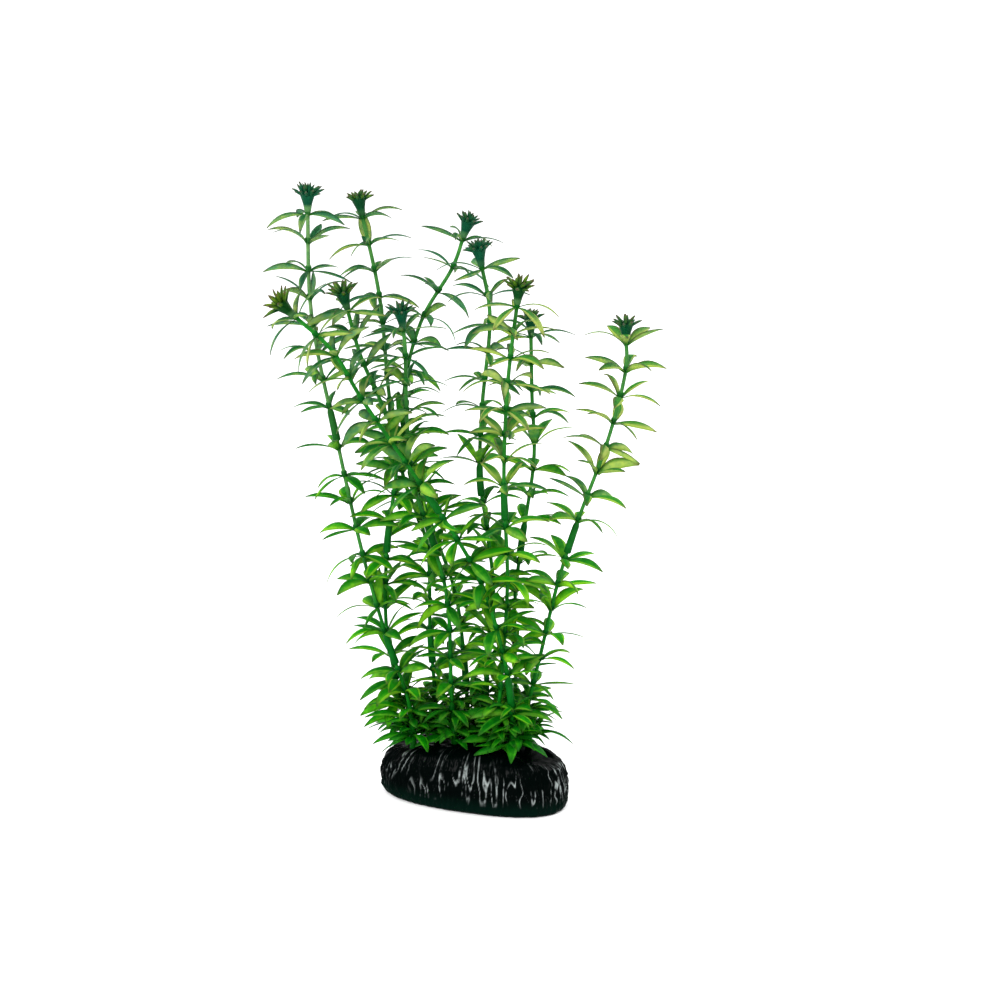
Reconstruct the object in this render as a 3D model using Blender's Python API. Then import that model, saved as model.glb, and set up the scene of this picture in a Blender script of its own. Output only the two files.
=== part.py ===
"""An artificial oxygen-weed plant for an aquarium: ten leafy plastic shoots on a heavy glazed base.

Each shoot is pushed together from moulded sections. The lower end of a section is a sleeve, and the thin
upper end of the section below stands in it. A fringed crown closes the top of each shoot. Sizes are in
metres, +Z is up, and the origin is the middle of the base's underside. The base is long in X.
"""

import math
import random

import bmesh
import bpy
import numpy as np
from mathutils import Matrix, Vector
from mathutils.kdtree import KDTree

# Clearance between pieces that touch, and the room kept between leaves that pass each other
fit_gap = 0.0003
leaf_room = 0.0014
stem_room = 0.0008
base_room = 0.0007

# The base: an oval between an ellipse and a box, with its rim drawn in towards the top
base_half_length = 0.0393
base_half_depth = 0.0192
base_height = 0.0238
base_squareness = 2.4
base_points = 40
base_ridge = 0.0006
# The wall stands in more at the end towards -X, and less at the other end, by this share
base_lean = 0.3
# The top falls from the middle to the two ends by this share of the height
base_fall = 0.18
# (height as a share of base_height, how far the wall stands in from the widest outline)
base_profile = ((0.0, 0.0014), (0.12, 0.0002), (0.42, 0.0), (0.72, 0.0012), (0.90, 0.0038), (1.0, 0.0086))
socket_depth = 0.0045
socket_sides = 6

# One moulded section: the stem, the sleeve at its lower end and the leaves in rings of five
stem_sides = 5
stem_radius = 0.00095
peg_radius = 0.0007
foot_radius = 0.0016
foot_swelling_height = 0.018
sleeve_length = 0.0135
sleeve_radius = 0.0018
sleeve_shoulder_radius = 0.0016
sleeve_shoulder = 0.0020
sleeve_bore_radius = 0.0013
sleeve_bore_depth = 0.0090
peg_length = 0.0080
whorl_spacing = 0.0109
first_whorl = 0.0036
collar_height = 0.0022
last_whorl_above_base = 0.0030

# One leaf, from the stem's surface to its tip
leaf_length = 0.0163
leaf_half_width = 0.00185
leaf_thickness = 0.00035
leaf_widest_at = 0.5
length_spread = 0.07
ring_rise_spread = 10.0
leaf_rise = 4.0
leaf_rise_spread = 6.0
leaf_turn_spread = 6.0
lowest_rise = -22.0
highest_rise = 68.0

# One crown: a small cup whose rim is cut into fingers
crown_fingers = 8
crown_foot_radius = 0.0015
crown_cup_radius = 0.0029
crown_throat_radius = 0.0021
crown_cup_height = 0.0040
crown_throat_height = 0.0054
crown_rim_radius = 0.0058
crown_height = 0.0086
crown_middle_height = 0.0076

# Edges that turn more than this stay sharp where a piece is shaded smooth
sharp_angle = math.radians(40)

# The shoots were arranged to be seen from this angle off the base's long side
front_turn = math.radians(20)

# Each route runs from the shoot's foot, inside the base, up to its crown, in metres across, away from
# the front and up. The sleeves are the distances down from the crown at which each sleeve begins.
shoots = {
    "a": {
        "route": (
            (-0.0245, 0.000, 0.0194), (-0.0263, 0.000, 0.0407), (-0.0350, 0.000, 0.0687),
            (-0.0443, 0.000, 0.1047), (-0.0535, 0.000, 0.1507), (-0.0600, -0.001, 0.1847),
            (-0.0626, -0.002, 0.2087), (-0.0625, -0.003, 0.2422),
        ),
        "sleeves": (0.080, 0.175),
    },
    "b": {
        "route": (
            (-0.0155, 0.008, 0.0194), (-0.0160, 0.009, 0.0407), (-0.0178, 0.010, 0.0687),
            (-0.0188, 0.013, 0.1027), (-0.0278, 0.015, 0.1297), (-0.0333, 0.018, 0.1617),
            (-0.0369, 0.022, 0.2017), (-0.0440, 0.026, 0.2362),
        ),
        "sleeves": (0.077, 0.172),
    },
    "c": {
        "route": (
            (-0.0262, 0.010, 0.0194), (-0.0300, 0.009, 0.0387), (-0.0352, 0.006, 0.0707),
            (-0.0342, 0.001, 0.1067), (-0.0300, -0.004, 0.1387), (-0.0315, -0.008, 0.1567),
            (-0.0425, -0.011, 0.1847), (-0.0480, -0.014, 0.2067),
        ),
        "sleeves": (0.094,),
    },
    "d": {
        "route": (
            (0.0152, -0.010, 0.0194), (0.0150, -0.011, 0.0437), (0.0108, -0.014, 0.0702),
            (0.0010, -0.018, 0.1017), (-0.0210, -0.025, 0.1402), (-0.0405, -0.031, 0.1717),
            (-0.0520, -0.035, 0.1927), (-0.0672, -0.038, 0.2079),
        ),
        "sleeves": (0.086, 0.176),
    },
    "e": {
        "route": (
            (-0.0075, -0.002, 0.0194), (-0.0090, -0.002, 0.0437), (-0.0102, -0.003, 0.0827),
            (-0.0155, -0.006, 0.1087), (-0.0236, -0.008, 0.1357), (-0.0255, -0.009, 0.1617),
            (-0.0258, -0.010, 0.1877), (-0.0268, -0.011, 0.1987),
        ),
        "sleeves": (0.079,),
    },
    "f": {
        "route": (
            (-0.0032, 0.0105, 0.0194), (-0.0030, 0.0125, 0.0387), (-0.0070, 0.016, 0.0787),
            (-0.0160, 0.018, 0.1067), (-0.0262, 0.022, 0.1367), (-0.0278, 0.026, 0.1637),
            (-0.0210, 0.030, 0.1907), (-0.0085, 0.034, 0.2117), (-0.0035, 0.036, 0.2257),
        ),
        "sleeves": (0.083, 0.178),
    },
    "g": {
        "route": (
            (0.0045, 0.006, 0.0194), (0.0048, 0.0065, 0.0437), (0.0080, 0.007, 0.0817),
            (0.0052, 0.008, 0.1117), (0.0025, 0.008, 0.1327), (0.0035, 0.007, 0.1617),
            (0.0066, 0.006, 0.1967), (0.0030, 0.005, 0.2199),
        ),
        "sleeves": (0.082, 0.174),
    },
    "h": {
        "route": (
            (0.0075, -0.006, 0.0194), (0.0105, -0.008, 0.0467), (0.0134, -0.010, 0.0937),
            (0.0120, -0.014, 0.1357), (0.0134, -0.019, 0.1757), (0.0172, -0.024, 0.2105),
        ),
        "sleeves": (0.077,),
    },
    "i": {
        "route": (
            (0.0150, 0.0055, 0.0194), (0.0168, 0.0075, 0.0437), (0.0165, 0.011, 0.0787),
            (0.0192, 0.014, 0.1037), (0.0240, 0.017, 0.1367), (0.0232, 0.020, 0.1637),
            (0.0227, 0.023, 0.1895),
        ),
        "sleeves": (0.078,),
    },
    "j": {
        "route": (
            (0.0228, 0.000, 0.0194), (0.0216, 0.000, 0.0367), (0.0268, 0.001, 0.0607),
            (0.0335, 0.001, 0.0907), (0.0412, 0.000, 0.1167), (0.0523, -0.001, 0.1487),
            (0.0590, -0.002, 0.1767), (0.0591, -0.002, 0.1917),
        ),
        "sleeves": (0.078,),
    },
}
# Leaves are grown in this order, so that the shoots that stand in front keep their leaves as moulded
growing_order = "dajhbeigcf"
part_names = {2: ("upper", "lower"), 3: ("upper", "middle", "lower")}

material_looks = {
    "glazed_base": {"color": (0.008, 0.014, 0.011), "roughness": 0.22},
    "leaf_green": {"color": (0.070, 0.250, 0.030), "roughness": 0.38},
    "leaf_dark_green": {"color": (0.015, 0.110, 0.022), "roughness": 0.38},
    "crown_green": {"color": (0.006, 0.050, 0.024), "roughness": 0.42},
}


def clear_scene():
    for item in list(bpy.data.objects):
        bpy.data.objects.remove(item, do_unlink=True)


def make_material(name):
    look = material_looks[name]
    material = bpy.data.materials.new(name)
    material.use_nodes = True
    shader = material.node_tree.nodes["Principled BSDF"]
    shader.inputs["Base Color"].default_value = (*look["color"], 1.0)
    shader.inputs["Roughness"].default_value = look["roughness"]
    shader.inputs["Metallic"].default_value = 0.0
    return material


def make_object(name, mesh_builder, material, parent, location, rotation=None):
    """Closes the bmesh into an object whose origin is at location, with its points moved to suit."""
    place = Matrix.Translation(location)
    if rotation is None:
        mesh_builder.transform(place.inverted())
    mesh = bpy.data.meshes.new(name)
    mesh_builder.to_mesh(mesh)
    mesh_builder.free()
    mesh.materials.append(material)
    mesh.shade_smooth()
    mesh.set_sharp_from_angle(angle=sharp_angle)
    made = bpy.data.objects.new(name, mesh)
    bpy.context.scene.collection.objects.link(made)
    made.parent = parent
    made.location = location
    if rotation is not None:
        made.rotation_mode = "QUATERNION"
        made.rotation_quaternion = rotation
    return made


def turned(across, away, up):
    """A point of a route in the base's own axes."""
    cosine, sine = math.cos(front_turn), math.sin(front_turn)
    return np.array((across * cosine - away * sine, across * sine + away * cosine, up))


class Stem:
    """A smooth curve through a route's points, measured along its length from the crown down."""

    steps = 24

    def __init__(self, route):
        knots = [turned(*point) for point in route]
        knots = [2 * knots[0] - knots[1], *knots, 2 * knots[-1] - knots[-2]]
        line = []
        for before, start, end, after in zip(knots, knots[1:], knots[2:], knots[3:]):
            for step in range(self.steps):
                t = step / self.steps
                line.append(
                    0.5 * (2 * start + (end - before) * t
                           + (2 * before - 5 * start + 4 * end - after) * t ** 2
                           + (3 * start - before - 3 * end + after) * t ** 3)
                )
        line.append(knots[-2])
        self.line = np.array(line[::-1])
        strides = np.linalg.norm(np.diff(self.line, axis=0), axis=1)
        self.down = np.concatenate(([0.0], np.cumsum(strides)))
        self.length = float(self.down[-1])

    def point(self, down):
        if down < 0:
            return self.line[0] + self.axis(0) * -down
        return np.array([np.interp(down, self.down, self.line[:, k]) for k in range(3)])

    def axis(self, down):
        reach = 0.002
        low = self.point(min(down + reach, self.length))
        high = self.point(max(down - reach, 0.0))
        return (high - low) / np.linalg.norm(high - low)

    def frame(self, down):
        """The middle of the stem there, its direction upwards, and two directions across it."""
        axis = self.axis(down)
        side = np.array((1.0, 0.0, 0.0)) - axis[0] * axis
        side /= np.linalg.norm(side)
        return self.point(down), axis, side, np.cross(axis, side)

    def ring(self, down, radius, phase):
        middle, _, side, front = self.frame(down)
        return [middle + radius * (math.cos(a) * side + math.sin(a) * front)
                for a in (phase + 2 * math.pi * k / stem_sides for k in range(stem_sides))]

    def radius(self, down):
        """The stem swells towards its foot in the base."""
        height = self.length - down - socket_depth
        swelling = min(max(1 - height / foot_swelling_height, 0.0), 1.0)
        return stem_radius + (foot_radius - stem_radius) * swelling


def sections_of(letter):
    """Where each section of a shoot begins and ends, and the places of its rings of leaves."""
    stem = Stem(shoots[letter]["route"])
    sleeves = shoots[letter]["sleeves"]
    names = part_names[len(sleeves) + 1]
    top, found = 0.0, []
    for index, name in enumerate(names):
        lowest = index == len(names) - 1
        last = stem.length - socket_depth - last_whorl_above_base if lowest else sleeves[index]
        first = top + first_whorl
        gaps = max(round((last - first) / whorl_spacing), 1)
        found.append({
            "name": f"shoot_{letter}_{name}",
            "letter": letter,
            "stem": stem,
            "top": top - peg_length if index else fit_gap,
            "bottom": stem.length if lowest else last + sleeve_length,
            "lowest": lowest,
            "whorls": [first + (last - first) * k / gaps for k in range(gaps + 1)],
        })
        top = last + sleeve_length
    return found


def base_outline(inset, angle):
    """The point at one angle round the base's oval, at one inset from its widest outline."""
    cosine, sine = math.cos(angle), math.sin(angle)
    leaned = inset * (1 - base_lean * cosine)
    x = (base_half_length - leaned) * math.copysign(abs(cosine) ** (2 / base_squareness), cosine)
    y = (base_half_depth - leaned) * math.copysign(abs(sine) ** (2 / base_squareness), sine)
    return x, y


def base_level(share, cosine):
    """How high the wall's rings stand, lower towards the ends of the oval the nearer they are to the top."""
    return base_height * share * (1 - base_fall * share * cosine ** 2)


def base_surface_height(points):
    """The height of the base's top under each point, ridges included, or 0 outside it."""
    shares = [share for share, _ in base_profile]
    insets = [inset for _, inset in base_profile]
    height = np.zeros(len(points))
    along = np.clip(points[:, 0] / base_half_length, -1, 1)
    cosine = np.copysign(np.abs(along) ** (base_squareness / 2), along)
    for share in np.linspace(shares[2], 1.0, 16):
        inset = (np.interp(share, shares, insets) - base_ridge) * (1 - base_lean * cosine) - base_ridge
        size = ((np.abs(points[:, 0]) / (base_half_length - inset)) ** base_squareness
                + (np.abs(points[:, 1]) / (base_half_depth - inset)) ** base_squareness)
        height = np.where(size < 1, base_level(share, cosine), height)
    return height


class Leaf:
    """A blade that leaves the stem between two corners of a ring, under a corner of the ring above it."""

    # The samples from this one on are clear of the stem and of the neighbours' roots
    free_from = 12

    def __init__(self, stem, down, radius, phase, turn, rise, length):
        middle, axis, side, front = stem.frame(down)
        half = math.pi / stem_sides
        self.root = middle + radius * math.cos(half) * self.across(side, front, phase + half)
        heading = self.across(side, front, phase + half + turn)
        chord = heading * math.cos(rise) + axis * math.sin(rise)
        self.lift = np.cross(chord, np.cross(axis, chord))
        self.lift /= np.linalg.norm(self.lift)
        self.wing = np.cross(self.lift, chord)
        self.tip = self.root + chord * length
        self.collar = self.root + axis * collar_height
        # The ridge runs straight from the collar to the tip, so the edges bow up to just under it
        ridge = collar_height * float(axis @ self.lift) * (1 - leaf_widest_at)
        width = leaf_half_width * (0.55 + 0.45 * length / leaf_length)
        self.width = width
        self.widest = self.root + chord * length * leaf_widest_at + self.lift * (ridge - leaf_thickness)
        self.right = self.widest + self.wing * width
        self.left = self.widest - self.wing * width

    @staticmethod
    def across(side, front, angle):
        return math.cos(angle) * side + math.sin(angle) * front

    def samples(self):
        """Points spread over the blade, closer together than the room that is kept round it."""
        found = []
        for share in np.linspace(0.06, 1.0, 10):
            if share < leaf_widest_at:
                blend = share / leaf_widest_at
                middle = self.root + (self.widest - self.root) * blend
                width = self.width * (0.3 + 0.7 * blend)
            else:
                blend = (share - leaf_widest_at) / (1 - leaf_widest_at)
                middle = self.widest + (self.tip - self.widest) * blend
                width = self.width * (1 - blend)
            ridge = self.collar + (self.tip - self.collar) * share
            found += [middle - self.wing * width, middle, ridge, middle + self.wing * width]
        return np.array(found)


def variations():
    """Changes to a leaf's turn, rise and length, the smallest first, for one that would hit another."""
    turns = (0, 9, -9, 18, -18, 26, -26)
    rises = (0, 7, -7, 14, -13, 22, -20, 32, 44, 56)
    for share in (1.0, 0.9, 0.78, 0.64, 0.5):
        ways = [(abs(turn) + abs(rise), turn, rise) for turn in turns for rise in rises]
        for _, turn, rise in sorted(ways, key=lambda way: way[0]):
            yield math.radians(turn), math.radians(rise), share


def crown_places(stem):
    """Balls that fill a crown, for the leaves to stay clear of."""
    top, axis = stem.point(0.0), stem.axis(0.0)
    balls = ((0.14, crown_foot_radius), (0.42, crown_cup_radius),
             (0.68, 0.8 * crown_rim_radius), (0.92, crown_rim_radius))
    return [(top + axis * share * crown_height, radius + fit_gap) for share, radius in balls]


def grow_leaves(sections):
    """Gives each section its leaves, each turned, raised or shortened until it clears all that is there."""
    stem_points, stem_radii, stem_owner = [], [], []
    for section in sections:
        for down in np.arange(section["top"], section["bottom"], 0.001):
            in_sleeve = not section["lowest"] and down > section["whorls"][-1]
            stem_points.append(section["stem"].point(down))
            stem_radii.append(sleeve_radius if in_sleeve else section["stem"].radius(down))
            stem_owner.append(section["letter"])
        if section["name"].endswith("upper"):
            for middle, radius in crown_places(section["stem"]):
                stem_points.append(middle)
                stem_radii.append(radius)
                stem_owner.append("crown")
    stem_points, stem_radii = np.array(stem_points), np.array(stem_radii)
    stem_owner = np.array(stem_owner)
    leaf_points = []
    chance = random.Random(41)
    for section in sections:
        stem, section["leaves"] = section["stem"], []
        phase = chance.uniform(0, 2 * math.pi)
        for down in reversed(section["whorls"]):
            grown = KDTree(len(leaf_points))
            for number, point in enumerate(leaf_points):
                grown.insert(point, number)
            grown.balance()
            radius = stem.radius(down)
            ring_rise = chance.gauss(0, ring_rise_spread)
            leaves = []
            for k in range(stem_sides):
                angle = phase + 2 * math.pi * k / stem_sides
                turn = math.radians(chance.gauss(0, leaf_turn_spread))
                rise = math.radians(leaf_rise + ring_rise + chance.gauss(0, leaf_rise_spread))
                length = leaf_length * (1 + chance.uniform(-length_spread, length_spread))
                near = (np.abs(stem_points - stem.point(down)).max(axis=1) < 1.4 * leaf_length)
                near &= stem_owner != section["letter"]
                walls, wall_room = stem_points[near], stem_radii[near] + stem_room
                beside = [leaf.samples()[Leaf.free_from:] for leaf in leaves if leaf is not None]
                leaves.append(None)
                for more_turn, more_rise, share in variations():
                    lifted = min(max(rise + more_rise, math.radians(lowest_rise)), math.radians(highest_rise))
                    leaf = Leaf(stem, down, radius, angle, turn + more_turn, lifted, length * share)
                    spots = leaf.samples()
                    if (spots[:, 2] < base_surface_height(spots) + base_room).any():
                        continue
                    if leaf_points and any(grown.find(spot)[2] < leaf_room for spot in spots[::-1]):
                        continue
                    away = np.linalg.norm(spots[:, None] - walls[None], axis=2)
                    if (away < wall_room[None]).any():
                        continue
                    apart = [np.linalg.norm(spots[Leaf.free_from:, None] - other[None], axis=2).min()
                             for other in beside]
                    if apart and min(apart) < leaf_room:
                        continue
                    leaves[-1] = leaf
                    break
            leaf_points += [spot for leaf in leaves if leaf is not None for spot in leaf.samples()]
            section["leaves"].append((down, radius, phase, leaves))
            phase += math.pi / stem_sides


def add_ring(builder, points):
    return [builder.verts.new(point) for point in points]


def join_rings(builder, low, high):
    for k in range(len(low)):
        after = (k + 1) % len(low)
        builder.faces.new((low[k], low[after], high[after], high[k]))


def add_leaf(builder, left_root, right_root, collar, leaf):
    left, right, tip = (builder.verts.new(point) for point in (leaf.left, leaf.right, leaf.tip))
    for corners in (
        (left_root, right_root, right), (left_root, right, left), (right_root, collar, right),
        (collar, left_root, left), (collar, left, tip), (collar, tip, right), (left, right, tip),
    ):
        builder.faces.new(corners)


def build_section(section, material, parent):
    """One moulded section as one closed skin, made from its lower end up."""
    stem, builder = section["stem"], bmesh.new()
    phase = section["leaves"][0][2]
    bottom = section["bottom"]
    if section["lowest"]:
        last = add_ring(builder, stem.ring(bottom, foot_radius, phase))
        builder.faces.new(reversed(last))
    else:
        bore_end = add_ring(builder, stem.ring(bottom - sleeve_bore_depth, sleeve_bore_radius, phase))
        mouth = add_ring(builder, stem.ring(bottom, sleeve_bore_radius, phase))
        rim = add_ring(builder, stem.ring(bottom, sleeve_radius, phase))
        shoulder = section["whorls"][-1] + sleeve_shoulder
        last = add_ring(builder, stem.ring(shoulder, sleeve_shoulder_radius, phase))
        builder.faces.new(reversed(bore_end))
        join_rings(builder, bore_end, mouth)
        join_rings(builder, mouth, rim)
        join_rings(builder, rim, last)
    for down, radius, phase, leaves in section["leaves"]:
        collar_radius = peg_radius if down == section["whorls"][0] else radius
        collar_phase = phase + math.pi / stem_sides
        ring = add_ring(builder, stem.ring(down, radius, phase))
        collar = add_ring(builder, stem.ring(down - collar_height, collar_radius, collar_phase))
        join_rings(builder, last, ring)
        for k, leaf in enumerate(leaves):
            after = (k + 1) % stem_sides
            builder.faces.new((collar[k], ring[after], collar[after]))
            if leaf is None:
                builder.faces.new((ring[k], ring[after], collar[k]))
            else:
                add_leaf(builder, ring[k], ring[after], collar[k], leaf)
        last = collar
    end = add_ring(builder, stem.ring(section["top"], peg_radius, collar_phase))
    join_rings(builder, last, end)
    builder.faces.new(end)
    return make_object(section["name"], builder, material, parent, Vector(stem.point(bottom)))


def build_crown(letter, stem, material, parent):
    """The fringed tuft that closes a shoot, made upright and then set along the stem's end."""
    builder = bmesh.new()

    def ring(radius, height, share):
        angles = [2 * math.pi * (k + share) / crown_fingers for k in range(crown_fingers)]
        return add_ring(builder, [(radius * math.cos(a), radius * math.sin(a), height) for a in angles])

    foot = ring(crown_foot_radius, 0.0, 0.0)
    cup = ring(crown_cup_radius, crown_cup_height, 0.0)
    throat = ring(crown_throat_radius, crown_throat_height, 0.5)
    builder.faces.new(reversed(foot))
    join_rings(builder, foot, cup)
    chance = random.Random(ord(letter))
    middle = builder.verts.new((0.0, 0.0, crown_middle_height))
    for k in range(crown_fingers):
        after = (k + 1) % crown_fingers
        angle = 2 * math.pi * (k + 0.5) / crown_fingers
        reach = crown_rim_radius * chance.uniform(0.86, 1.0)
        height = crown_height * chance.uniform(0.84, 1.0)
        tip = builder.verts.new((reach * math.cos(angle), reach * math.sin(angle), height))
        builder.faces.new((cup[k], cup[after], tip))
        builder.faces.new((cup[after], throat[k], tip))
        builder.faces.new((throat[k], cup[k], tip))
        builder.faces.new((throat[k], cup[after], throat[after]))
        builder.faces.new((throat[k], throat[after], middle))
    rotation = Vector((0.0, 0.0, 1.0)).rotation_difference(Vector(stem.axis(0.0)))
    return make_object(f"shoot_{letter}_crown", builder, material, parent, Vector(stem.point(0.0)), rotation)


def build_base(feet, material, parent):
    """The glazed block with its wall drawn into upright ridges, and a blind socket for each foot."""
    builder = bmesh.new()
    chance = random.Random(7)
    ridges = [(1 if k % 2 else -1) * base_ridge * chance.uniform(0.5, 1.0) for k in range(base_points)]
    last = None
    for share, inset in base_profile:
        ridged = 0.0 if share in (0.0, 1.0) else 1.0
        points = []
        for k in range(base_points):
            angle = 2 * math.pi * k / base_points
            x, y = base_outline(inset - ridges[k] * ridged, angle)
            points.append((x, y, base_level(share, math.cos(angle))))
        ring = add_ring(builder, points)
        if last is None:
            builder.faces.new(reversed(ring))
        else:
            join_rings(builder, last, ring)
        last = ring
    # The top is a shallow vault, made of strips across the base
    for k in range(base_points // 2):
        strip = (last[k], last[k + 1], last[-k - 1], last[-k])
        builder.faces.new(tuple(dict.fromkeys(strip)))
    base = make_object("base", builder, material, parent, Vector((0.0, 0.0, 0.0)))
    cutter_builder = bmesh.new()
    for foot, axis in feet:
        wide = (foot_radius + 2 * fit_gap) / math.cos(math.pi / socket_sides)
        rotation = Vector((0.0, 0.0, 1.0)).rotation_difference(Vector(axis)).to_matrix().to_4x4()
        depth = 3 * socket_depth
        lift = Matrix.Translation(Vector((0.0, 0.0, depth / 2 - fit_gap)))
        bmesh.ops.create_cone(
            cutter_builder, cap_ends=True, segments=socket_sides, radius1=wide, radius2=wide, depth=depth,
            matrix=Matrix.Translation(Vector(foot)) @ rotation @ lift,
        )
    cutter = make_object("base_socket_cutter", cutter_builder, material, parent, Vector((0.0, 0.0, 0.0)))
    cutter.hide_render = True
    cutter.display_type = "WIRE"
    sockets = base.modifiers.new("Sockets", "BOOLEAN")
    sockets.operation = "DIFFERENCE"
    sockets.solver = "EXACT"
    sockets.object = cutter
    return base


def build_plant():
    clear_scene()
    materials = {name: make_material(name) for name in material_looks}
    stand = bpy.data.objects.new("plant", None)
    bpy.context.scene.collection.objects.link(stand)
    sections = [section for letter in growing_order for section in sections_of(letter)]
    grow_leaves(sections)
    feet = []
    for section in sections:
        dark = section["lowest"]
        build_section(section, materials["leaf_dark_green" if dark else "leaf_green"], stand)
        if section["lowest"]:
            stem = section["stem"]
            feet.append((stem.point(stem.length), stem.axis(stem.length)))
        if section["name"].endswith("upper"):
            build_crown(section["letter"], section["stem"], materials["crown_green"], stand)
    build_base(feet, materials["glazed_base"], stand)
    asked = sum(len(ring[3]) for section in sections for ring in section["leaves"])
    grown = sum(leaf is not None for section in sections for ring in section["leaves"] for leaf in ring[3])
    print(f"{len(sections)} sections, {grown} leaves of {asked}")


build_plant()
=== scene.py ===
import random
import time
from math import ceil, copysign, cos, radians, sin, tau

import bmesh
import bpy
import numpy as np
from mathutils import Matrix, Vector, noise


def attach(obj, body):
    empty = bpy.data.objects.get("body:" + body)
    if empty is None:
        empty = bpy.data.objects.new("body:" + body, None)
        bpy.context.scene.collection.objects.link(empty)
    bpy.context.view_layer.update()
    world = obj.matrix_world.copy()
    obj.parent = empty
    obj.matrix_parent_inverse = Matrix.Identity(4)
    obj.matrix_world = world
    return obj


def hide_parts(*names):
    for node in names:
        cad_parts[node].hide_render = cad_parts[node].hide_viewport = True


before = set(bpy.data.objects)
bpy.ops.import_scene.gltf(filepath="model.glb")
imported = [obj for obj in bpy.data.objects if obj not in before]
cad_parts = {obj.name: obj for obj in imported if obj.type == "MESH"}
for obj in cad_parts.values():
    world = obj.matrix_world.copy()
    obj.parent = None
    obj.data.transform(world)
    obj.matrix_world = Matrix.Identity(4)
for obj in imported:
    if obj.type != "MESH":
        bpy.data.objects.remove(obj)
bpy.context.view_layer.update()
scene = bpy.context.scene
startTime = time.time()


def report(stage):
    print(f"{stage} ({time.time() - startTime:.1f} s)")


def addObject(name, data):
    added = bpy.data.objects.new(name, data)
    scene.collection.objects.link(added)
    return added


# The camera looks at a point given across, away from the front and up, in metres
view = {
    "turn": radians(20),
    "elevation": radians(15.5),
    "distance": 0.930,
    "lens": 85.0,
    "sensor": 36.0,
    "clip": (0.01, 60.0),
    "aim": (0.0105, 0.0, 0.1253),
}


def turned(across, away, up):
    x, y = cos(view["turn"]), sin(view["turn"])
    return np.array((across * x - away * y, across * y + away * x, up))


def lookAt(thing, aim):
    thing.rotation_euler = (Vector(aim) - thing.location).to_track_quat("-Z", "Y").to_euler()


def addCamera():
    data = bpy.data.cameras.new("camera")
    data.lens, data.sensor_width = view["lens"], view["sensor"]
    data.clip_start, data.clip_end = view["clip"]
    camera = addObject("camera", data)
    aim, far, up = Vector(turned(*view["aim"])), view["distance"], view["elevation"]
    camera.location = aim + Vector(turned(0.0, -far * cos(up), far * sin(up)))
    lookAt(camera, aim)
    scene.camera = camera


# Node trees are written with these: a node from its settings and what goes into its sockets, and sums
def connect(tree, node, sockets):
    for place, value in sockets.items():
        if isinstance(value, bpy.types.NodeSocket):
            tree.links.new(value, node.inputs[place])
        else:
            node.inputs[place].default_value = value
    return node


def addNode(tree, kind, sockets=None, **settings):
    node = tree.nodes.new(kind)
    for name, value in settings.items():
        setattr(node, name, value)
    return connect(tree, node, sockets or {})


def calc(tree, operation, *values):
    return addNode(tree, "ShaderNodeMath", dict(enumerate(values)), operation=operation).outputs[0]


def vectorCalc(tree, operation, sockets):
    return addNode(tree, "ShaderNodeVectorMath", sockets, operation=operation).outputs["Vector"]


def times(tree, first, *others):
    for other in others:
        first = calc(tree, "MULTIPLY", first, other)
    return first


def split(tree, vector):
    return addNode(tree, "ShaderNodeSeparateXYZ", {0: vector}).outputs


def clamped(value):
    return min(max(value, 0.0), 1.0)


def unit(vector):
    return vector / np.linalg.norm(vector)


# The stage: a pale floor under an even sky that is brightest overhead, and two soft boxes
stage = {
    "floorSize": 30.0,
    "floorGap": 0.0002,               # keeps the floor clear of the base's underside
    "floorColor": (0.93, 0.93, 0.93, 1.0),
    "floorRoughness": 0.9,
    "skyTop": 1.75,
    "skySide": 0.85,
    "skyBlend": 0.2,
    "boxAim": (0.0, 0.0, 0.11),
    "boxes": {                        # power, size, and place: across, away and up
        "keyBox": (9.0, 0.28, (-0.50, -0.80, 0.70)),
        "rimBox": (6.0, 0.5, (0.65, 0.55, 0.60)),
    },
}


def addStage():
    mesh = bpy.data.meshes.new("floor")
    reach = stage["floorSize"] / 2
    corners = [(x * reach, y * reach, -stage["floorGap"]) for x, y in ((-1, -1), (1, -1), (1, 1), (-1, 1))]
    mesh.from_pydata(corners, [], [(0, 1, 2, 3)])
    floor = addObject("floor", mesh)
    paper = bpy.data.materials.new("palePaper")
    paper.use_nodes = True
    connect(paper.node_tree, paper.node_tree.nodes["Principled BSDF"], {
        "Base Color": stage["floorColor"], "Roughness": stage["floorRoughness"], "Specular IOR Level": 0.0})
    mesh.materials.append(paper)

    scene.world = bpy.data.worlds.new("studio")
    scene.world.use_nodes = True
    tree = scene.world.node_tree
    height = split(tree, addNode(tree, "ShaderNodeTexCoord").outputs["Generated"])["Z"]
    rise = calc(tree, "SMOOTH_MIN", calc(tree, "MAXIMUM", height, 0.0), 1.0, stage["skyBlend"])
    strength = calc(tree, "MULTIPLY_ADD", rise, stage["skyTop"] - stage["skySide"], stage["skySide"])
    connect(tree, tree.nodes["Background"], {"Color": (1.0, 1.0, 1.0, 1.0), "Strength": strength})
    for name, (power, size, place) in stage["boxes"].items():
        data = bpy.data.lights.new(name, "AREA")
        data.energy, data.size = power, size
        box = addObject(name, data)
        box.location = turned(*place)
        lookAt(box, stage["boxAim"])
    scene.view_settings.view_transform = "Standard"
    scene.view_settings.look = "None"


addCamera()
addStage()
report("camera, floor and light")

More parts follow.
